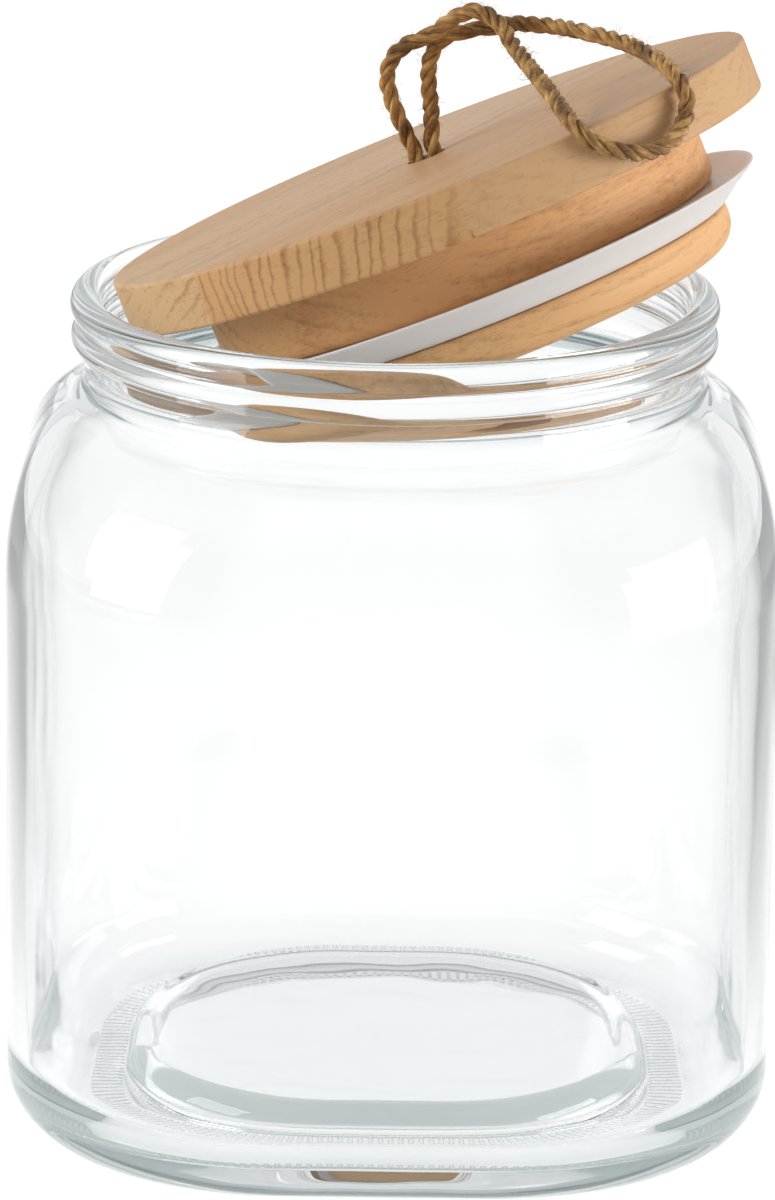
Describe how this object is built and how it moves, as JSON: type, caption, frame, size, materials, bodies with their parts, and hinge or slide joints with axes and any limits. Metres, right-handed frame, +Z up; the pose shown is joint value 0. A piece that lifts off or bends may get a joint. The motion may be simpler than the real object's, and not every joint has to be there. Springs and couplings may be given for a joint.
{
  "type": "food canister",
  "caption": "Rounded-square clear glass storage jar with a round beaded mouth and a turned beech lid with a silicone lip seal and a jute loop",
  "frame": {"origin": "middle of the jar's base, on the surface that it stands on", "axes": "+Z up through the jar's mouth, +X to the right and -Y towards the viewer, square to the body's flat sides"},
  "size_m": [0.154, 0.154, 0.2278],
  "materials": {
    "glass": "clear polished pressed glass",
    "beech": "sanded bare beech",
    "silicone": "translucent white silicone, satin",
    "jute": "twisted natural jute, hairy"
  },
  "bodies": {
    "jar": {"glass_jar": "glass"},
    "knot": {"cord_knot": "jute"},
    "lid": {"lid_stave_1": "beech", "lid_stave_2": "beech", "lid_stave_3": "beech", "lid_stave_4": "beech", "lid_plug": "beech", "seal_ring": "silicone", "cord_loop": "jute"}
  },
  "joints": [
    {"name": "lid_lift", "type": "slide", "parent": "jar", "child": "knot", "axis": [-0.1439, 0.049, 0.9884], "range_m": [0, 0.1214]},
    {"name": "lid_level", "type": "hinge", "parent": "knot", "child": "lid", "pos_m": [0.01747, -0.00595, 0.16753], "axis": [0.2756, 0.9613, 0], "range_deg": [0, 22.9]}
  ],
  "couplings": [
    {"joint": "lid_level", "follows": "lid_lift", "rad_per_m": 3.2922}
  ]
}
